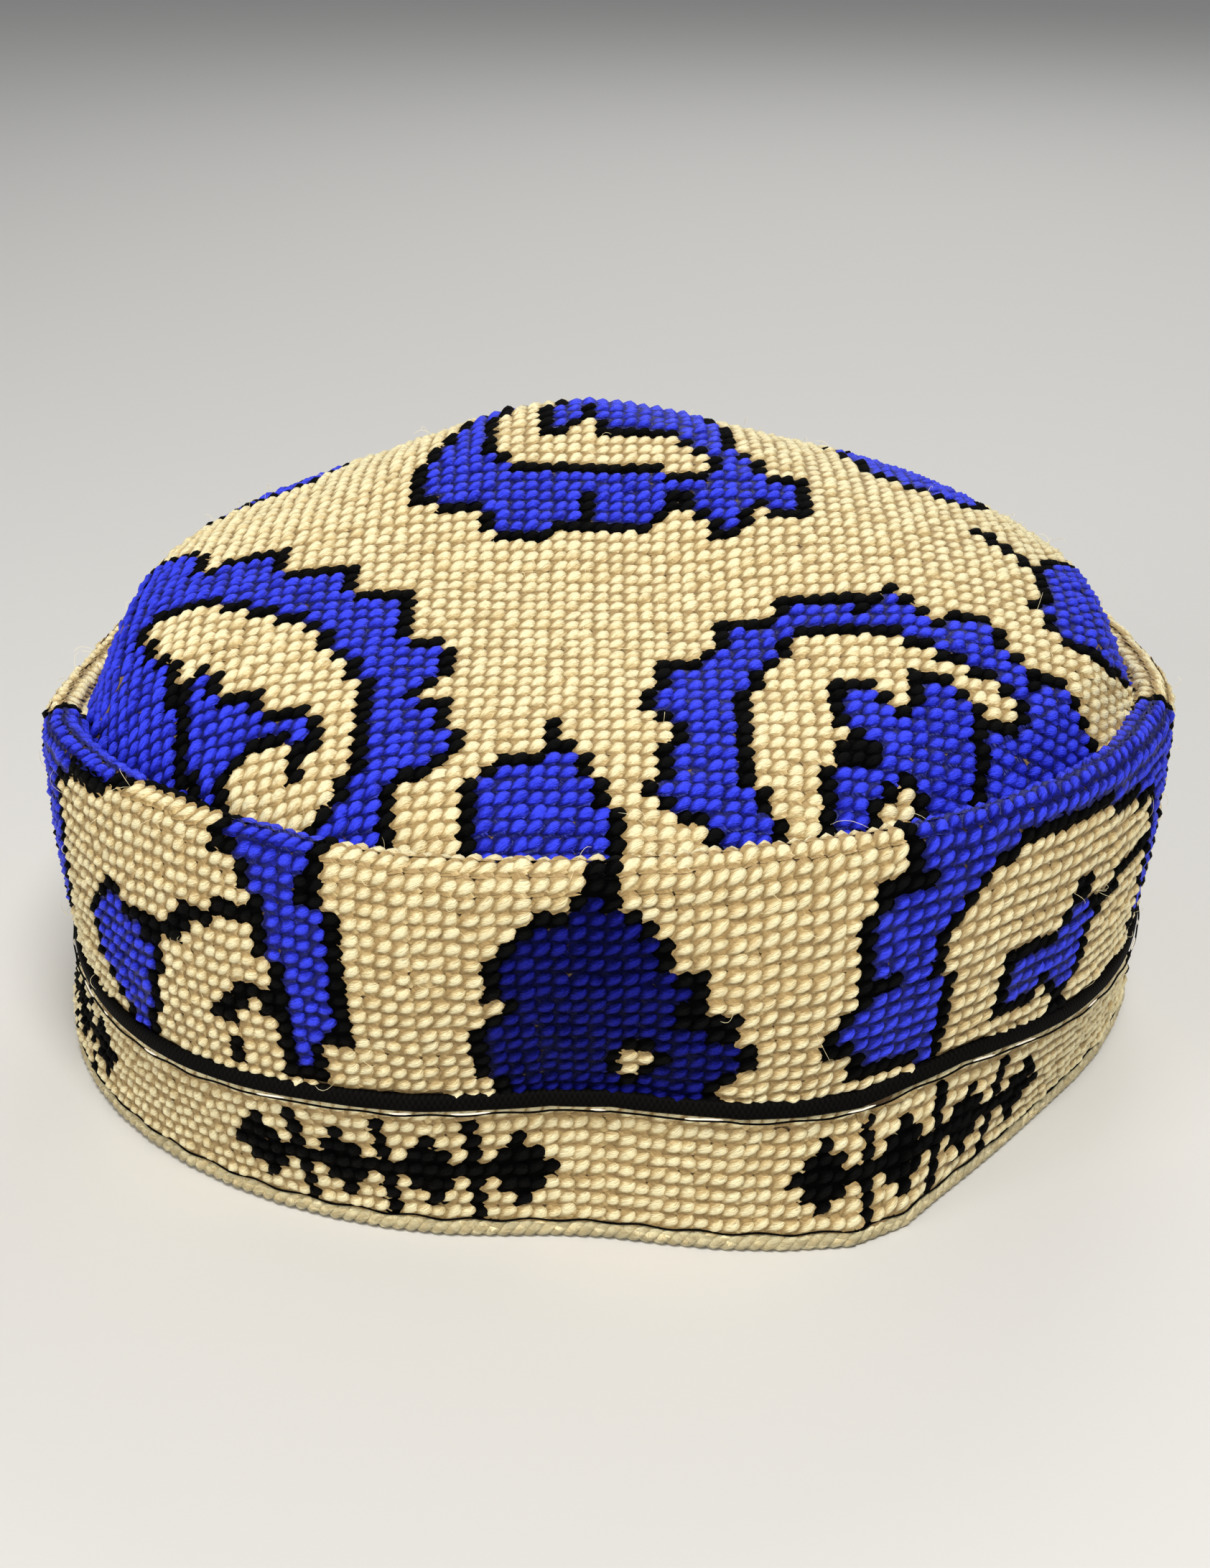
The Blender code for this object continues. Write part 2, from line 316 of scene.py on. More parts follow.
def braid_edges(points):
    """Reach, lower height and upper height of the braid in each of so many directions, from straight right."""
    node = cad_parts["black_braid"]
    corners = np.array([node.matrix_world @ v.co for v in node.data.vertices])
    angle = np.arctan2(corners[:, 1] - AXIS[1], corners[:, 0] - AXIS[0])
    reach = np.hypot(corners[:, 0] - AXIS[0], corners[:, 1] - AXIS[1])
    found = []
    middles = np.linspace(-math.pi, math.pi, BRAID_SOUNDINGS, endpoint=False)
    for middle in middles:
        near = np.abs(np.angle(np.exp(1j * (angle - middle)))) < BRAID_WINDOW
        found.append((reach[near].max(), corners[near, 2].min(), corners[near, 2].max()))
    turns = evenly_round(points)
    reach, low, high = (np.interp(turns, middles, column, period=2 * math.pi) for column in np.array(found).T)
    level = (low + high) / 2 + np.interp(np.degrees(turns), *BRAID_LIFT.T, period=360) * MM
    return reach, level - BRAID_HALF, level + BRAID_HALF


braid_reach, braid_low, braid_high = braid_edges(TURNINGS)


CREASE_SOUNDINGS = np.arange(100.0, 66.0, -0.5) * MM  # reaches at which the crease and dip are looked for
LOWEST_DIP = 55 * MM  # what is met below this height isn't the fold
SIDE_POINTS = 24  # points of the line from the braid up to the crease


def wall_profiles():
    """For each direction, the cloth's line from behind the braid over the crease into the dip, as reach and
    height, its length up to each point, and its length up to the crease."""
    profiles = []
    for i in range(TURNINGS):
        turn = 2 * math.pi * i / TURNINGS
        top = []
        for reach in CREASE_SOUNDINGS:
            hit = sound_down(Vector((*AXIS, FAR)) + direction(turn) * reach)
            if hit is not None and hit.z > LOWEST_DIP:
                top.append((reach, hit.z))
        top = np.array(top)  # it rises to the crease, falls to the dip and rises again to the crown
        first = next(k for k in range(len(top) - 1) if top[k + 1, 1] < top[k, 1])
        last = next(k for k in range(first + 4, len(top) - 1) if top[k + 1, 1] > top[k, 1] or k == len(top) - 2)
        side = []
        for height in np.linspace(braid_high[i] - 0.2 * MM, top[first, 1] - 2.0 * MM, SIDE_POINTS):
            hit = sound_inward(crown_tree, turn, height)
            side.append((math.hypot(hit.x - AXIS[0], hit.y - AXIS[1]), height))
        rising = [tuple(p) for p in top[: first + 1] if p[0] < side[-1][0] and p[1] > side[-1][1]]
        falling = [tuple(p) for p in top[first + 1 : last + 1]]
        below = (falling[-1][0] - 2.9 * MM, falling[-1][1] - 2.7 * MM)  # the last row dives into the dip
        foot = (side[0][0], side[0][1] - 4.0 * MM)  # and the first behind the braid
        line = np.array([foot] + side + rising + falling + [below])
        length = np.concatenate([[0], np.cumsum(np.hypot(*np.diff(line, axis=0).T))])
        crest = length[len(side) + len(rising)]
        profiles.append((line, length, crest))
    return profiles


STEPS = 100  # points of the tables from the first row to the top one
profiles = wall_profiles()
wall_reach = np.zeros((TURNINGS, STEPS))
wall_level = np.zeros((TURNINGS, STEPS))
for i, (line, length, crest) in enumerate(profiles):
    along = crest + (np.linspace(FIRST_ROW, TOP_ROW, STEPS) - WALL_ROWS) * WALL_ROW
    wall_reach[i] = np.interp(along, length, line[:, 0])
    wall_level[i] = np.interp(along, length, line[:, 1])
dip_reach = np.array([line[-2, 0] for line, length, crest in profiles])
dip_row = np.array([WALL_ROWS + (length[-2] - crest) / WALL_ROW for line, length, crest in profiles])
foot_row = np.array([WALL_ROWS + (length[1] - crest) / WALL_ROW for line, length, crest in profiles])


def look_up(table, turn, step):
    """A value between four neighbours of a table, which runs full circle one way and stops the other."""
    turn = np.mod(turn, TURNINGS)
    step = np.clip(step, 0, table.shape[1] - 1.001)
    i, j = turn.astype(int), step.astype(int)
    f, g = turn - i, step - j
    k = (i + 1) % TURNINGS
    i = i % TURNINGS
    near = table[i, j] * (1 - g) + table[i, j + 1] * g
    far = table[k, j] * (1 - g) + table[k, j + 1] * g
    return near * (1 - f) + far * f


def columns_round(reach):
    """Distance along a ring, from the middle of the front, at each sounded direction and back to the first."""
    turns = np.linspace(0, 2 * math.pi, TURNINGS + 1)
    reach = full_circle(reach)
    points = np.stack([reach * np.cos(turns), reach * np.sin(turns)], axis=1)
    length = np.concatenate([[0], np.cumsum(np.hypot(*np.diff(points, axis=0).T))])
    front = 0.75 * TURNINGS
    return length - np.interp(front, np.arange(TURNINGS + 1), length), length[-1]


def turn_of(distance, lengths, whole):
    """The direction, in table steps, at a distance along the ring from the middle of the front."""
    distance = np.mod(distance - lengths[0], whole) + lengths[0]
    return np.interp(distance, lengths, np.arange(TURNINGS + 1))


wall_lengths, wall_round = columns_round(wall_reach[:, STEPS // 2])
WALL_COLUMNS = round(wall_round / COLUMN)


def wall_point(column, row):
    """Where a crossing of the wall's canvas lies, columns counted from the middle of the front."""
    turn = turn_of(column * wall_round / WALL_COLUMNS, wall_lengths, wall_round)
    step = (row - FIRST_ROW) / (TOP_ROW - FIRST_ROW) * (STEPS - 1)
    reach = look_up(wall_reach, turn, step)
    return round_axis(reach, turn * 2 * math.pi / TURNINGS, look_up(wall_level, turn, step))


# From the peak outward: height and length of the cloth at each millimetre of plan distance, and how many
# millimetres the dip is away
OUTWARD = 135
DIVE = 0.45 * MM  # past the dip's bottom the stitches go down by this much a millimetre
crown_level = np.zeros((TURNINGS, OUTWARD))
crown_length = np.zeros((TURNINGS, OUTWARD))
crown_limit = np.zeros(TURNINGS)
for i in range(TURNINGS):
    turn = 2 * math.pi * i / TURNINGS
    for j in range(OUTWARD):
        spot = PEAK + np.array([math.cos(turn), math.sin(turn)]) * j * MM
        offset = spot - AXIS
        aside = np.mod(math.atan2(offset[1], offset[0]) / (2 * math.pi) * TURNINGS, TURNINGS)
        if np.hypot(*offset) > at_turn(dip_reach, aside):
            crown_level[i, j:] = crown_level[i, j - 1] - np.arange(1, OUTWARD - j + 1) * DIVE
            break
        crown_limit[i] = j
        crown_level[i, j] = sound_down(Vector((*spot, FAR))).z
    rise = np.diff(crown_level[i])
    crown_length[i] = np.concatenate([[0], np.cumsum(np.hypot(rise, MM))])
# The same, turned about: plan distance at even steps of the cloth's length
crown_reach = np.stack([np.interp(np.arange(OUTWARD) * MM, row, np.arange(OUTWARD) * MM) for row in crown_length])


def crown_plan(column, row):
    """Direction from the peak, in table steps, and plan distance of a crossing of the crown's canvas."""
    x, y = column * COLUMN, row * CROWN_ROW
    turn = np.mod(np.arctan2(y, x) / (2 * math.pi) * TURNINGS, TURNINGS)
    return turn, look_up(crown_reach, turn, np.hypot(x, y) / MM)


def crown_point(column, row):
    """Where a crossing of the crown's canvas lies, columns and rows counted from the peak."""
    turn, reach = crown_plan(column, row)
    return round_axis(reach, turn * 2 * math.pi / TURNINGS, look_up(crown_level, turn, reach / MM), centre=PEAK)


# A stitch from its thin tail, low on the left, to its full head: place along it, fullness, and rise over or sink
# under the rest in millimetres
STITCH_RINGS = np.array([
    (-1.00, 0.26, -0.95), (-0.60, 0.60, -0.42), (-0.10, 0.90, -0.05), (0.40, 1.00, 0.10), (0.80, 0.82, 0.02),
    (1.00, 0.36, -0.40),
])
STITCH_SIDES = np.radians([0, 12, 45, 90, 135, 168, 180])  # over its back, from one foot to the other
STITCH_REACH, STITCH_SLANT = 0.60, 0.44  # half its length, in columns along the row and rows across it
STITCH_WIDTH = 0.385  # half its width, in rows
STITCH_HEIGHT, STITCH_SINK = 1.25 * MM, 0.40
FOOT = 1.75  # how much wider the stitch is where it lies on the canvas
FOOT_RISE, LEAST_RISE = 0.15 * MM, 0.19 * MM  # over the canvas, of the foot and of the rest
# How uneven the stitches are in length, slant, width, place along and across the row, height and lean
UNEVEN = np.array([0.06, 0.16, 0.07, 0.05, 0.045, 0.12, 0.12])
chance = np.random.default_rng(11)


def unit(vectors):
    """The vectors, a row each, brought to a length of 1."""
    return vectors / (np.linalg.norm(vectors, axis=1)[:, None] + 1e-12)


def cloth_axes(point, columns, rows):
    """The steps from one crossing to the next along the row and across it, and the way out of the cloth."""
    right = point(columns + 0.5, rows) - point(columns - 0.5, rows)
    up = point(columns, rows + 0.5) - point(columns, rows - 0.5)
    return right, up, unit(np.cross(right, up))


def stitches(name, point, columns, rows, material):
    """One plump slanting stitch over each crossing, as a single mesh."""
    count = len(columns)
    right, up, outward = cloth_axes(point, columns, rows)
    uneven = chance.normal(0, 1, (count, 7)) * UNEVEN
    longer, steeper, wider, aside, over, taller, lean = (uneven[:, k : k + 1] for k in range(7))
    middle = point(columns, rows) + right * aside + up * over
    axis = right * (STITCH_REACH * (1 + longer)) + up * (STITCH_SLANT * (1 + steeper))
    side = unit(np.cross(outward, axis))
    thick = np.linalg.norm(up, axis=1)[:, None] * STITCH_WIDTH * (1 + wider)
    tall = STITCH_HEIGHT * (1 + taller)
    vertices = np.zeros((count, len(STITCH_RINGS), len(STITCH_SIDES), 3), dtype=np.float32)
    rings, sides = len(STITCH_RINGS), len(STITCH_SIDES)
    for i, (where, full, sink) in enumerate(STITCH_RINGS):
        bow = side * thick * lean * (1 - where * where)
        for j, turn in enumerate(STITCH_SIDES):
            if j in (0, sides - 1):
                rise = np.full((count, 1), FOOT_RISE)
                wide = full * FOOT
            else:
                rise = np.maximum(tall * full**0.7 * math.sin(turn) + (sink - STITCH_SINK) * MM, LEAST_RISE)
                wide = full
            vertices[:, i, j] = middle + axis * where + bow + side * thick * wide * math.cos(turn) + outward * rise
    faces = []
    for i in range(rings - 1):
        for j in range(sides - 1):
            faces.append((i * sides + j, i * sides + j + 1, (i + 1) * sides + j + 1, (i + 1) * sides + j))
    faces = np.array(faces)
    faces = (faces[None] + (np.arange(count) * rings * sides)[:, None, None]).reshape(-1, 4)
    tone = np.repeat(np.clip(0.5 + 0.2 * chance.normal(0, 1, count), 0, 1), rings * sides)
    along = np.tile(np.repeat(STITCH_RINGS[:, 0], sides), count)
    across = np.tile(np.cos(STITCH_SIDES), rings * count)
    values = {"tone": tone, "along": along, "across": across}
    return add_mesh(name, vertices.reshape(-1, 3), faces, material, values)


def add_mesh(name, vertices, faces, material, attributes=()):
    """A smooth-shaded mesh object from plain arrays, with values on its vertices for the material."""
    mesh = bpy.data.meshes.new(name)
    mesh.vertices.add(len(vertices))
    mesh.vertices.foreach_set("co", np.asarray(vertices, dtype=np.float32).ravel())
    mesh.loops.add(faces.size)
    mesh.loops.foreach_set("vertex_index", faces.ravel().astype(np.int32))
    mesh.polygons.add(len(faces))
    mesh.polygons.foreach_set("loop_start", np.arange(len(faces), dtype=np.int32) * faces.shape[1])
    mesh.update(calc_edges=True)
    for key in attributes:
        layer = mesh.attributes.new(key, "FLOAT", "POINT")
        layer.data.foreach_set("value", np.asarray(attributes[key], dtype=np.float32))
    mesh.shade_smooth()
    mesh.materials.append(material)
    piece = bpy.data.objects.new(name, mesh)
    bpy.context.scene.collection.objects.link(piece)
    return piece


def within(corners, x, y):
    """Which of the crossings lie inside a figure given by its corners."""
    inside = np.zeros(x.shape, dtype=bool)
    for (x0, y0), (x1, y1) in zip(corners, corners[1:] + corners[:1]):
        crosses = (y0 > y) != (y1 > y)
        with np.errstate(divide="ignore", invalid="ignore"):
            inside ^= crosses & (x < (x1 - x0) * (y - y0) / (y1 - y0) + x0)
    return inside


ECRU, BLUE, BLACK, SHADED_BLUE = range(4)


def work(figures, columns, rows):
    """The colour of every crossing: blue figures with ecru openings, outlined in black, and black lines."""
    colours = np.zeros(columns.shape, dtype=int)
    for colour, corners in figures:
        if colour != BLACK:
            colours[within(corners, columns, rows)] = colour
    padded = np.pad(colours, 1, mode="edge")
    for shifted in (padded[:-2, 1:-1], padded[2:, 1:-1], padded[1:-1, :-2], padded[1:-1, 2:]):
        colours[(colours == BLUE) & (shifted == ECRU)] = BLACK
    for colour, corners in figures:
        if colour == BLACK:
            for (x0, y0), (x1, y1) in zip(corners, corners[1:]):
                steps = np.linspace(0, 1, 1 + int(2 * max(abs(x1 - x0), abs(y1 - y0))))
                for x, y in zip(x0 + (x1 - x0) * steps, y0 + (y1 - y0) * steps):
                    colours[(np.abs(columns - x) <= 0.5) & (np.abs(rows - y) <= 0.5)] = BLACK
    return colours


# Corners of the figures on the crown, in stitches right of and behind the peak
CROWN_FIGURES = [
    (BLUE, [
        (-41, -31), (-40, -20), (-37, -13), (-32, -9), (-28.5, -11.2), (-26.8, -12.7), (-26.6, -15.7),
        (-25.5, -15.6), (-25.4, -14.2), (-21.2, -14.3), (-20.4, -15.5), (-20.3, -17.8), (-19.5, -18.3),
        (-18.1, -17.3), (-15.2, -17.2), (-15.3, -20.8), (-12.5, -20.4), (-11.5, -20.8), (-11.5, -25.5),
        (-9.5, -25.5), (-8.6, -26.5), (-9.1, -29.8), (-10.6, -30.6), (-9.5, -31.6), (-8.4, -32.4),
        (-8.4, -33.8), (-7.6, -34.6), (-7.6, -36.2), (-8.6, -36.8), (-8.8, -37.8), (-11.5, -38.4),
        (-11.5, -44), (-13, -52), (-32, -52),
    ]),
    (ECRU, [
        (-29.6, -20.6), (-28.8, -19.9), (-26.9, -20.4), (-25.4, -20.6), (-23.7, -21.3), (-22.5, -22.3),
        (-20.3, -23.1), (-18.4, -23.9), (-17.4, -24.8), (-17.4, -26.4), (-16.7, -26.6), (-15.4, -27.6),
        (-15.2, -29.3), (-14.5, -29.6), (-14.5, -33.5), (-14.9, -37.3), (-16.3, -39.5), (-17.2, -40.5),
        (-17.6, -52), (-23.0, -52), (-22.9, -36), (-21.0, -35), (-20.3, -34.5), (-19.2, -34.7),
        (-18.3, -35.7), (-18.3, -36.8), (-17.9, -37.5), (-17.2, -37.4), (-17.4, -36.3), (-16.9, -35.8),
        (-16.6, -33.5), (-16.9, -32.5), (-17.6, -32.4), (-17.9, -31.5), (-20.2, -31.6), (-20.3, -29.4),
        (-21.5, -29.1), (-23.4, -29.1), (-23.4, -27.5), (-24.5, -27), (-25.1, -26.9), (-26.5, -28.3),
        (-26.4, -25.5), (-27.4, -25.5), (-28.4, -23.5),
    ]),
    (BLACK, [(-27, -26.5), (-26.2, -31), (-25.7, -34), (-25.1, -37), (-25, -43)]),
    (BLUE, [
        (7.6, -52), (7.6, -43), (7.5, -41.1), (5.9, -41.7), (4.7, -40.4), (4.0, -39), (4.4, -36.1),
        (5.2, -35.7), (6.6, -34.4), (4.7, -33.5), (3.9, -32.3), (4.1, -28.9), (5.2, -27.2), (8.5, -26.9),
        (8.7, -23.3), (9.9, -23), (12, -23.2), (12.2, -21.7), (13.8, -21), (17.4, -21.5), (20.2, -20.9),
        (21.3, -21.4), (21.4, -22.5), (22.9, -23.2), (25.4, -22.5), (26.9, -23.1), (27.6, -24.4),
        (28.2, -25.9), (29.6, -26.2), (31.4, -26.1), (32.1, -27.3), (33.4, -29.4), (36, -31), (41, -33),
        (41, -45), (12.5, -52),
    ]),
    (ECRU, [
        (12.4, -52), (12.2, -42.4), (12.0, -40.6), (11.2, -39.9), (11.0, -38.2), (10.5, -37.1),
        (10.9, -30.3), (11.9, -29.7), (12.1, -27.7), (13.1, -27.5), (13.2, -26.3), (15, -25.6),
        (17.2, -25.2), (19.2, -25.2), (20.2, -25.7), (21.6, -26.9), (23.9, -27.3), (24.8, -28.3),
        (26.5, -28.7), (27, -29.7), (28, -30.8), (28, -31.5), (27.1, -31.9), (25.8, -31.9), (25, -30.6),
        (25, -29.5), (24.4, -29.2), (22.6, -28.4), (20.7, -28.9), (20.5, -31.3), (19.9, -31.4),
        (18.8, -30.2), (16.8, -29.5), (15.1, -29.8), (15.1, -31.4), (15.7, -31.7), (15.7, -33.3),
        (16.7, -34.5), (15.5, -35.5), (15.4, -36.7), (14.5, -36.8), (14.1, -39.4), (14.7, -39.9),
        (14.8, -41.4), (15.5, -52),
    ]),
    (ECRU, [
        (20.1, -37.9), (20.4, -38.9), (19.9, -40.5), (19.5, -43), (17.5, -43), (18.0, -40.5),
        (18.5, -39.1), (19.5, -38.4),
    ]),
    (BLACK, [(25.3, -31.5), (25.4, -37.5)]),
    (BLACK, [(16, -35.5), (17.5, -35.5)]),
    (BLACK, [(18, -22), (18, -23)]),
    (BLACK, [(29.3, -27), (29.3, -28)]),
    (BLUE, [
        (30.4, -15), (30.4, -18), (29.6, -20.2), (30.8, -22), (31.8, -23), (33.5, -23.8), (35.5, -23.3),
        (38, -22.5), (41, -20.5), (46, -18), (44, -8), (36, -9), (32, -12.5),
    ]),
    (BLACK, [(27.5, -12), (30.4, -15)]),
    (BLUE, [
        (-12.1, -7), (-12.5, -11), (-10.3, -11), (-10.1, -12.8), (-7.5, -12.4), (-7.4, -14.6),
        (-6.3, -14.6), (-6.3, -15.6), (-3.0, -15.6), (-2.8, -14.9), (0.5, -14.6), (0.6, -14.0),
        (4.2, -14.0), (4.3, -13.4), (5.5, -12.9), (7.5, -12.8), (7.6, -13.8), (8.7, -14.0), (8.8, -15.1),
        (10.6, -15.1), (11.5, -14.6), (11.6, -12.8), (12.6, -12.6), (12.8, -13.6), (16, -14.1),
        (16, -9.2), (15.2, -8.6), (13, -8.2), (12.6, -6.3), (10.6, -5.6), (10.4, -4), (10, 0), (9, 5),
        (5, 9), (-5, 8), (-8.5, 3), (-9.5, -2), (-10.8, -4.6),
    ]),
    (ECRU, [
        (-5.5, 0), (-6.6, -3.9), (-6.8, -5.7), (-5.1, -7.2), (-1.3, -7.6), (5.2, -7.7), (5.6, -8.1),
        (9.0, -8.3), (8.3, -6.8), (7.4, -5.8), (6.2, -5.1), (5.2, -4.4), (3.7, -4.1), (0.5, -4.4),
        (0.5, -3.2), (-0.4, -2.8), (-1.1, -3.5), (-1.3, -4.6), (-2.5, -5.1), (-3.6, -4.1), (-3.6, -2),
        (-2.5, 0.2), (-1.5, 3), (-4.5, 3.5),
    ]),
    (BLACK, [(0, -11), (0, -13)]),
    (BLACK, [(0, -1), (0, -2)]),
    (BLACK, [(6, -11), (7, -12)]),
    (BLUE, [
        (-2.3, -35.8), (-5, -37), (-6.8, -38.6), (-7.8, -40), (-7.9, -52), (2.6, -52), (2.6, -40.8),
        (1.2, -39), (0.6, -37.6), (-0.6, -36.2), (-1.2, -35.8),
    ]),
    (BLACK, [(-2, -34), (-2, -36)]),
    (BLUE, [(18, 2), (20, -4.5), (23, -6), (26, -8), (29, -6), (31, 3), (24, 8)]),
    (BLUE, [(-32, 4), (-33, -2), (-29, -4), (-25, -2), (-21, -3), (-18, 3), (-20, 9), (-27, 11)]),
    (ECRU, [(-29, 2), (-26, 0), (-23, 3), (-24, 7), (-27, 5)]),
    (BLUE, [(0, 13), (3, 15.5), (5, 19), (5, 28), (-5, 28), (-5, 19), (-3, 15.5)]),
]


def crown_crossings():
    """Columns and rows of the crown's canvas, and which of them lie inside the dip."""
    columns, rows = np.meshgrid(np.arange(-46, 47) + 0.0, np.arange(-56, 34) + 0.0)
    turn, reach = crown_plan(columns.ravel(), rows.ravel())
    limit = at_turn(crown_limit * MM, turn) + 0.9 * MM  # the last row closes the gap at the dip's bottom
    return columns, rows, (reach < limit).reshape(columns.shape)


columns, rows, kept = crown_crossings()
colours = work(CROWN_FIGURES, columns, rows)
crown_stitches = columns[kept & (colours == ECRU)], rows[kept & (colours == ECRU)]
SILKS = {
    ECRU: ("ecru", ecru_silk), BLUE: ("blue", blue_silk), BLACK: ("black", black_silk), SHADED_BLUE: ("shaded_blue", shaded_blue_silk),
}
for colour in (ECRU, BLUE, BLACK):
    word, material = SILKS[colour]
    chosen = kept & (colours == colour)
    piece = stitches("crown_" + word, crown_point, columns[chosen], rows[chosen], material)
    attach(piece, "root")


# The side wall is the same cloth below the crease. Its stitches stand in upright columns, and its rows
# follow the crease and roll over it.
# Corners of the figures, in stitches from the middle of the front and up from the figures' foot
WALL_FIGURES = [
    (BLUE, [
        (-1.7, 14.5), (-2.6, 13.8), (-2.6, 12.8), (-4.4, 12.7), (-5.4, 11.8), (-6.4, 10.8), (-6.4, 10.0),
        (-7.5, 9.6), (-7.5, 6.8), (-6.5, 6.6), (-6.5, 5.6), (-7.5, 5.4), (-7.5, 4.6), (-8.5, 4.4), (-8.5, 1.2),
        (-7.5, 1.0), (-7.5, -4), (6.5, -4), (6.5, 1), (7.5, 1.2), (8.5, 2.4), (8.5, 3.4), (7.5, 3.8), (7.5, 6.2),
        (5.5, 6.2), (5.5, 8.6), (4.5, 8.8), (3.5, 9.8), (3.5, 10.8), (1.6, 11.8), (1.6, 12.8), (0.5, 13.0),
        (0.5, 16.2), (0.4, 22), (-0.9, 22), (-0.9, 16.2),
    ]),
    (ECRU, [(0.2, 2.9), (2.4, 2.9), (2.4, 1.9), (1.4, 1.9), (1.4, 1.0), (0.2, 1.0)]),
    (BLACK, [(0, 14.5), (0, 13.5)]),
    (BLACK, [(4, 6), (6, 5)]),
    (BLUE, [
        (-24.6, 22), (-24.6, 14.6), (-22.5, 14.2), (-22.5, 12.4), (-21.5, 11.8), (-21.5, 8.4), (-20.5, 8.2),
        (-20.5, 0.8), (-19.5, -0.6), (-17.5, 0.6), (-17.4, 2.4), (-15.6, 3.4), (-15.5, 12.2), (-16.6, 12.4),
        (-16.6, 14), (-16, 15), (-16, 22),
    ]),
    (BLACK, [(-18, 12.5), (-17, 13.5)]),
    (BLACK, [(-21, 10.5), (-24, 10.3), (-24.6, 9.4), (-27, 9.0), (-28, 8.0), (-29, 7.4), (-31, 7.8)]),
    (BLACK, [(-20.5, 4.5), (-22, 5.3), (-23.2, 5.0), (-24.2, 4.0), (-25, 3.2)]),
    (BLACK, [(-24.1, 1.8), (-24.2, 0.2)]),
    (BLUE, [
        (-34.6, 9), (-33.5, 9), (-33.4, 8.2), (-32, 7.8), (-30.6, 7.2), (-29.5, 6.4), (-29.5, 4.2), (-30.6, 3.4),
        (-30.6, 1.2), (-31.2, 0.4), (-31.6, -4), (-34.5, -4), (-35.6, -1), (-37, 1), (-38.6, 3), (-38.6, 5),
        (-37.4, 7),
    ]),
    (BLUE, [
        (-48.5, 22), (-50, 1), (-46, 1.5), (-44.5, 3), (-43, 6), (-42, 9), (-41.5, 12), (-40.5, 13.4), (-36, 14.0),
        (-33, 15.2), (-31, 16.2), (-31, 22),
    ]),
    (BLACK, [(-31, 16.5), (-29, 16.5), (-27, 16.5), (-25, 16.5)]),
    (BLUE, [(-31, 22), (-31, 17.2), (-24, 17.2), (-24, 22)]),
    (BLUE, [
        (17.6, 22), (17.5, 13.4), (16.5, 13.2), (15.5, 12.2), (15.5, 11.2), (14.5, 10.8), (14.5, 6.4), (14.4, 5.4),
        (13.5, 5.2), (13.5, 4.4), (12.5, 4.2), (12.5, 2.6), (13.5, 2.4), (14.5, 0.9), (15.5, 0.0), (16.5, 0.1),
        (18.5, 0.3), (19.5, -1), (19.5, -4), (21.5, -4), (21.5, 6.0), (20.5, 6.4), (20.5, 8.6), (21.5, 9.2),
        (22.5, 10.4), (23.5, 11.8), (24.5, 12.4), (27.5, 12.8), (30.5, 12.9), (34.5, 12.6), (41.5, 10.8),
        (42.5, 8), (43, 4), (44, 0), (48, 0), (47.5, 22),
    ]),
    (BLACK, [(15.5, 6.5), (16.8, 6.3)]),
    (BLACK, [(16.6, 12.6), (19, 12.5)]),
    (BLUE, [
        (32.4, 9.0), (33.6, 8.8), (33.6, 7.6), (35, 7.2), (35.4, 5.6), (34.5, 4.8), (34.5, 1.6), (34.0, 0.6),
        (34.0, -4), (31.4, -4), (31.4, 0.6), (30.5, 1.4), (30.5, 2.4), (29.4, 2.4), (29.4, 1.2), (25.6, 1.0),
        (25.6, 5.4), (26.4, 6.2), (28.6, 6.5), (28.6, 5.6), (29.5, 5.6), (30.4, 7.0), (31.4, 7.8),
    ]),
    (BLACK, [(35, 6.6), (37, 7.0), (39, 7.3), (42, 7.6)]),
]
FRONT_COLUMNS = 58  # the figures charted in front reach this far to each side, and are repeated behind


def wall_crossings():
    """Columns and rows of the wall's canvas, their colours, and which lie between the braid and the dip."""
    round_about = np.arange(WALL_COLUMNS) - WALL_COLUMNS // 2 + 0.0
    columns, rows = np.meshgrid(round_about, np.arange(FIRST_ROW, TOP_ROW) + 0.5)
    front = work(WALL_FIGURES, columns, rows)
    behind = work(WALL_FIGURES, np.mod(columns, WALL_COLUMNS) - round(WALL_COLUMNS / 2), rows)
    turn = turn_of(columns.ravel() * wall_round / WALL_COLUMNS, wall_lengths, wall_round)
    dip, foot = (at_turn(limit, turn).reshape(columns.shape) for limit in (dip_row, foot_row))
    kept = (rows < dip + 0.5) & (rows > foot - 0.25)  # so that no canvas shows at either end
    return columns, rows, np.where(np.abs(columns) < FRONT_COLUMNS, front, behind), kept


BUD_HALF, BUD_ROWS = 10, 14  # the bud in the middle of the front, worked in a darker copy of the blue silk as painted shade
columns, rows, colours, kept = wall_crossings()
# The bud's blue stitches take the darkened copy of the blue silk: painted shade
colours[(colours == BLUE) & (np.abs(columns) < BUD_HALF) & (rows < BUD_ROWS)] = SHADED_BLUE
wall_stitches = columns[kept & (colours == ECRU)], rows[kept & (colours == ECRU)]
for colour, (word, material) in SILKS.items():
    chosen = kept & (colours == colour)
    piece = stitches("wall_" + word, wall_point, columns[chosen], rows[chosen], material)
    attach(piece, "root")


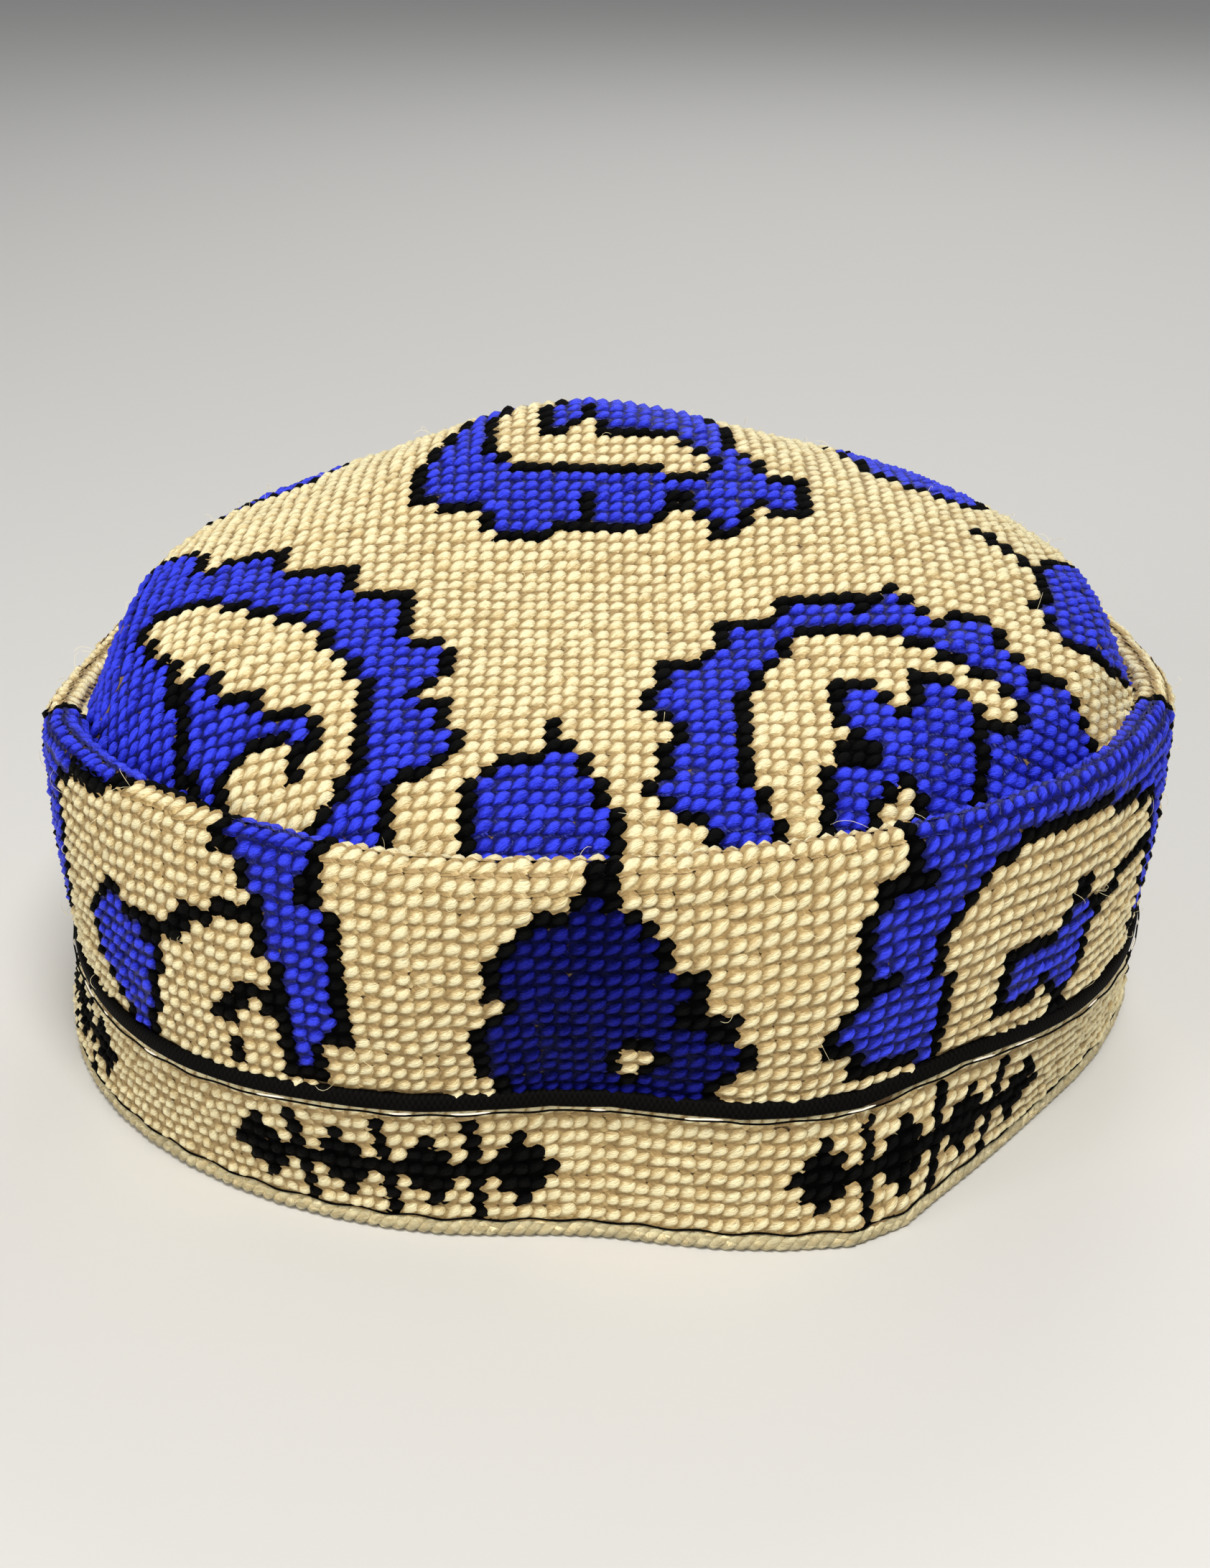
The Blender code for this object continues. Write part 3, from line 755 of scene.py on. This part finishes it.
# The brim band is a separate strip of the same work, sewn to the wall's lower edge. Its black figures are
# stepped lozenges on one stem, with a bar between each two.
BAND_BOTTOM, BAND_ROWS = 3.3 * MM, 8
BAND_COLUMN = 2.25 * MM
BAND_STEPS = 12  # heights at which the band is sounded
band_tree = tree_of("brim_band")
band_top = braid_low + 0.2 * MM  # the last row runs just under the braid
band_level = BAND_BOTTOM + (band_top[:, None] - BAND_BOTTOM) * np.linspace(0, 1, BAND_STEPS)[None]
band_reach = ring_table(band_tree, band_level)
band_lengths, band_round = columns_round(band_reach[:, BAND_STEPS // 2])
BAND_COLUMNS = round(band_round / BAND_COLUMN)


def band_point(column, row):
    """Where a crossing of the band's canvas lies, columns counted from the middle of the front."""
    turn = turn_of(column * band_round / BAND_COLUMNS, band_lengths, band_round)
    step = row / BAND_ROWS * (BAND_STEPS - 1)
    reach = look_up(band_reach, turn, step)
    return round_axis(reach, turn * 2 * math.pi / TURNINGS, look_up(band_level, turn, step))


GROUPS = (-52, -15, 23, 66, 109, 151)  # columns from the middle of the front
UNIT = 5.9  # columns from one lozenge to the next
LOZENGE = {0: 2, 1: 1, 2: 0}  # how far a lozenge reaches to each side, by rows from its middle
BAR_ROWS = 3  # how far a bar reaches up and down
FIGURE_ROW = 3.5  # the row that the lozenges' stem follows
ON_COLUMN, ON_ROW = 0.6, 0.1  # a stitch this near a line of the figure is on it


def band_colours(columns, rows):
    """The colour of every crossing of the band: groups of four lozenges and three bars on a stem."""
    colours = np.zeros(columns.shape, dtype=int)
    from_middle = np.abs(rows - FIGURE_ROW)
    for group in GROUPS:
        offset = np.mod(columns - group + BAND_COLUMNS / 2, BAND_COLUMNS) - BAND_COLUMNS / 2
        for k in range(4):
            beside = np.abs(offset - np.round((k - 1.5) * UNIT))
            for step, half in LOZENGE.items():
                colours[(beside < half + ON_COLUMN) & (np.abs(from_middle - step) < ON_ROW)] = BLACK
        for k in range(3):
            beside = np.abs(offset - np.round((k - 1) * UNIT))
            colours[(beside < ON_COLUMN) & (from_middle < BAR_ROWS + ON_ROW)] = BLACK
        colours[(np.abs(offset) < 1.5 * UNIT) & (from_middle < ON_ROW)] = BLACK
    return colours


columns, rows = np.meshgrid(np.arange(BAND_COLUMNS) + 0.0, np.arange(BAND_ROWS) + 0.5)
colours = band_colours(columns, rows)
for colour in (ECRU, BLACK):
    word, material = SILKS[colour]
    chosen = colours == colour
    piece = stitches("band_" + word, band_point, columns[chosen], rows[chosen], material)
    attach(piece, "root")


# The piping is a cord of three strands wound in ecru silk, sewn along the band's lower edge. The cap
# stands on it.
def rope(name, path, material, strands, strand_radius, wind_radius, pitch, sides):
    """Strands wound round each other along a closed path, whose points stand evenly."""
    count = len(path)
    ahead = unit(np.roll(path, -1, axis=0) - np.roll(path, 1, axis=0))
    up = np.tile([0.0, 0.0, 1.0], (count, 1))
    out = np.cross(ahead, up)
    length = np.concatenate([[0], np.cumsum(np.linalg.norm(np.diff(path, axis=0), axis=1))])
    whole = length[-1] + np.linalg.norm(path[0] - path[-1])
    winds = round(whole / pitch)
    here = np.arange(count)
    after = (here + 1) % count
    vertices, faces, across = [], [], []
    for strand in range(strands):
        turn = 2 * math.pi * (length / whole * winds + strand / strands)
        centre = path + (out * np.cos(turn)[:, None] + up * np.sin(turn)[:, None]) * wind_radius
        tangent = unit(np.roll(centre, -1, axis=0) - np.roll(centre, 1, axis=0))
        first = unit(np.cross(tangent, up))
        second = np.cross(tangent, first)
        base = count * sides * strand
        for j in range(sides):
            angle = 2 * math.pi * j / sides
            vertices.append(centre + (first * math.cos(angle) + second * math.sin(angle)) * strand_radius)
            across.append(np.full(count, math.cos(angle)))
            a, b = base + j * count, base + (j + 1) % sides * count
            faces.append(np.stack([a + here, a + after, b + after, b + here], axis=1))
    vertices, faces, across = np.concatenate(vertices), np.concatenate(faces), np.concatenate(across)
    tone = 0.5 + 0.3 * chance.normal(0, 1, len(vertices))
    # Every point sits at the stitch head's place along, and across runs round each strand, so the silk's painted
    # highlight and painted shade run along the strands
    values = {"tone": np.clip(tone, 0, 1), "along": np.full(len(vertices), 0.3), "across": across * 0.6}
    return add_mesh(name, vertices, faces, material, values)


def ring_path(tree, height, level, inset, points):
    """A closed path round the cap at one level, inset from the outside met at a height."""
    path = []
    for turn in evenly_round(points):
        hit = sound_inward(tree, turn, height) - direction(turn) * inset
        path.append((hit.x, hit.y, level))
    return np.array(path)


PIPING_RADIUS = 1.5 * MM
PIPING_POINTS = 900
piping_inset = PIPING_RADIUS - 0.55 * MM  # of the strands' middle, which stand a little proud of the solid
piping_path = ring_path(tree_of("edge_piping"), 1.4 * MM, 1.85 * MM, piping_inset, PIPING_POINTS)
piping = rope(
    "edge_cord", piping_path, ecru_silk,
    strands=3, strand_radius=1.0 * MM, wind_radius=0.82 * MM, pitch=6.0 * MM, sides=7,
)
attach(piping, "root")
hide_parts("edge_piping")


# A flat black braid is sewn over the join of wall and band.
def braid_material():
    """Ribs that cross like the strands of a flat plait."""
    material, shader = new_material("black_braid_weave", Roughness=0.7, Specular_IOR_Level=0.03)
    (x, y, z), point = place()
    turn = way_round(x, y)
    rib = (turn * 7.0 + z * 4.0).sine() * 0.5 + (turn * 7.0 - z * 4.0).sine() * 0.5
    colour = blend(rib.span(-1, 1), (0.0012, 0.0012, 0.0012), (0.005, 0.0045, 0.004))
    plug(shader, Base_Color=colour, Normal=bump(rib, 0.35, 0.12 * MM))
    return material


# Across the braid: share of its depth outward, and of half its height upward
BRAID_SECTION = [(-1.0, -1.0), (-0.2, -1.0), (0.0, -0.7), (0.05, 0.0), (0.0, 0.7), (-0.2, 1.0), (-1.0, 1.0)]
BRAID_DEPTH = 1.3 * MM
BRAID_POINTS = 480


def braid_strip():
    """The braid as one closed ring with the section above."""
    reach, low, high = braid_edges(BRAID_POINTS)
    here = np.arange(BRAID_POINTS)
    after = (here + 1) % BRAID_POINTS
    vertices, faces = [], []
    for k, (outward, upward) in enumerate(BRAID_SECTION):
        out = reach - 0.25 * MM + outward * BRAID_DEPTH
        vertices.append(round_axis(out, evenly_round(BRAID_POINTS), (low + high) / 2 + upward * BRAID_HALF))
        a, b = k * BRAID_POINTS, (k + 1) % len(BRAID_SECTION) * BRAID_POINTS
        faces.append(np.stack([a + here, a + after, b + after, b + here], axis=1))
    return add_mesh("flat_braid", np.concatenate(vertices), np.concatenate(faces), braid_material())


flat_braid = braid_strip()
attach(flat_braid, "root")
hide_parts("black_braid")


# Two fine black threads sew the strips together, one between the band's last row and the piping and one
# along the braid's lower edge, where the white edge of the band's canvas shows in places.
THREAD = {"strands": 1, "wind_radius": 0.05 * MM, "pitch": 9 * MM, "sides": 5}  # it wanders very slightly
HEM_POINTS, EDGE_POINTS = 700, 720


def wavering(points, waves, height):
    """A thread's small rise and fall on its way round."""
    return height * np.sin(np.arange(points) * 2 * math.pi * waves / points)


hem_path = ring_path(band_tree, 3.6 * MM, 3.45 * MM, -0.30 * MM, HEM_POINTS)
hem_path[:, 2] += wavering(HEM_POINTS, 61, 0.18 * MM)
hem_thread = rope("hem_thread", hem_path, black_silk, strand_radius=0.17 * MM, **THREAD)
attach(hem_thread, "root")

edge_reach, edge_low = braid_edges(EDGE_POINTS)[:2]
edge_path = round_axis(edge_reach, evenly_round(EDGE_POINTS), edge_low - 0.35 * MM)
edge_path[:, 2] += wavering(EDGE_POINTS, 53, 0.12 * MM)
seam_thread = rope("seam_thread", edge_path, black_silk, strand_radius=0.16 * MM, **THREAD)
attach(seam_thread, "root")

canvas_edge_material, canvas_edge_shader = new_material("canvas_edge", Roughness=0.8)
canvas_edge_shader.inputs["Base Color"].default_value = (0.88, 0.80, 0.66, 1.0)


def tubes(name, lines, radius, sides, material, values=()):
    """Separate thin tubes, each along its own few points and thinner at its ends."""
    vertices, faces, base = [], [], 0
    for line in lines:
        ahead = unit(np.gradient(line, axis=0))
        first = unit(np.cross(ahead, [0.31, 0.27, 0.91]))  # any direction that no tube follows
        second = np.cross(ahead, first)
        for i in range(len(line)):
            thin = radius * (0.35 if i in (0, len(line) - 1) else 1.0)
            for j in range(sides):
                angle = 2 * math.pi * j / sides
                vertices.append(line[i] + (first[i] * math.cos(angle) + second[i] * math.sin(angle)) * thin)
        for i in range(len(line) - 1):
            for j in range(sides):
                a, b = base + i * sides + j, base + i * sides + (j + 1) % sides
                faces.append((a, b, b + sides, a + sides))
        base += len(line) * sides
    return add_mesh(name, np.array(vertices), np.array(faces), material, values)


dashes = []  # stretches of the braid's lower edge over which the canvas shows, at uneven lengths
start = 0
while start < EDGE_POINTS - 20:
    start += int(chance.integers(5, 26))
    length = int(chance.integers(3, 9))
    if start + length < EDGE_POINTS - 5:
        dash = edge_path[start : start + length].copy()
        dash[:, 2] += 0.24 * MM
        dashes.append(dash)
    start += length
canvas_edge = tubes("canvas_edge", dashes, 0.15 * MM, 6, canvas_edge_material)
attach(canvas_edge, "root")


# Short fibres have worked loose from the floss and stand a little way off the stitches.
FIBRES, FIBRE_STEPS, FIBRE_SIDES = 170, 6, 3
FIBRE_RADIUS = 0.03 * MM


def loose_fibres(name, point, columns, rows):
    """Fibres that start at stitches chosen by chance, rise out of the cloth and bend over."""
    chosen = chance.integers(0, len(columns), FIBRES)
    here = point(columns[chosen], rows[chosen])
    right, up, outward = cloth_axes(point, columns[chosen], rows[chosen])
    lines = []
    for k in range(FIBRES):
        heading = right[k] * chance.normal(0, 0.8) + up[k] * chance.normal(0, 0.8)
        bend = right[k] * chance.normal(0, 0.4) + up[k] * chance.normal(0, 0.4)
        rise = chance.uniform(0.9, 2.3) * MM
        steps = np.linspace(0, 1, FIBRE_STEPS)[:, None]
        start = here[k] + outward[k] * (0.7 * MM + rise * np.sin(steps * 2.2))
        lines.append(start + heading * steps + bend * steps**2)
    level = np.ones(FIBRES * FIBRE_STEPS * FIBRE_SIDES)
    # Every point sits near the stitch head, so the fibres take the silk's painted highlight
    values = {"tone": level * 0.8, "along": level * 0, "across": level * 0}
    fibres = tubes(name, lines, FIBRE_RADIUS, FIBRE_SIDES, ecru_silk, values)
    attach(fibres, "root")


loose_fibres("crown_loose_fibres", crown_point, *crown_stitches)
loose_fibres("wall_loose_fibres", wall_point, *wall_stitches)


# The cap stands on a plain pale floor in soft studio light.
floor_material, floor_shader = new_material("floor", Roughness=0.85)
floor_shader.inputs["Base Color"].default_value = (0.62, 0.61, 0.59, 1.0)
bpy.ops.mesh.primitive_plane_add(size=6.0)
floor = bpy.context.object
floor.name = "floor"
floor.data.materials.append(floor_material)


def area_light(name, place_at, aim, size, watts, colour):
    """A round lamp that faces a point."""
    data = bpy.data.lights.new(name, "AREA")
    data.shape = "DISK"
    data.size = size
    data.energy = watts
    data.color = colour
    light = bpy.data.objects.new(name, data)
    light.location = place_at
    light.rotation_euler = (Vector(aim) - Vector(place_at)).to_track_quat("-Z", "Y").to_euler()
    bpy.context.scene.collection.objects.link(light)


area_light("key", (0.12, -0.68, 1.04), (0, 0, 0.05), 0.38, 14.8, (1.0, 0.98, 0.94))
area_light("fill", (-0.75, -0.70, 0.42), (0, 0, 0.03), 0.5, 4.2, (1.0, 0.97, 0.93))
area_light("back", (0.2, 0.9, 0.8), (0, 0, 0.06), 0.6, 3.5, (1.0, 1.0, 1.0))
world = bpy.data.worlds.new("studio")
bpy.context.scene.world = world
world.use_nodes = True
world.node_tree.nodes["Background"].inputs["Color"].default_value = (0.85, 0.88, 0.92, 1.0)
world.node_tree.nodes["Background"].inputs["Strength"].default_value = 0.27
bpy.context.scene.view_settings.view_transform = "Standard"
bpy.context.scene.view_settings.look = "None"
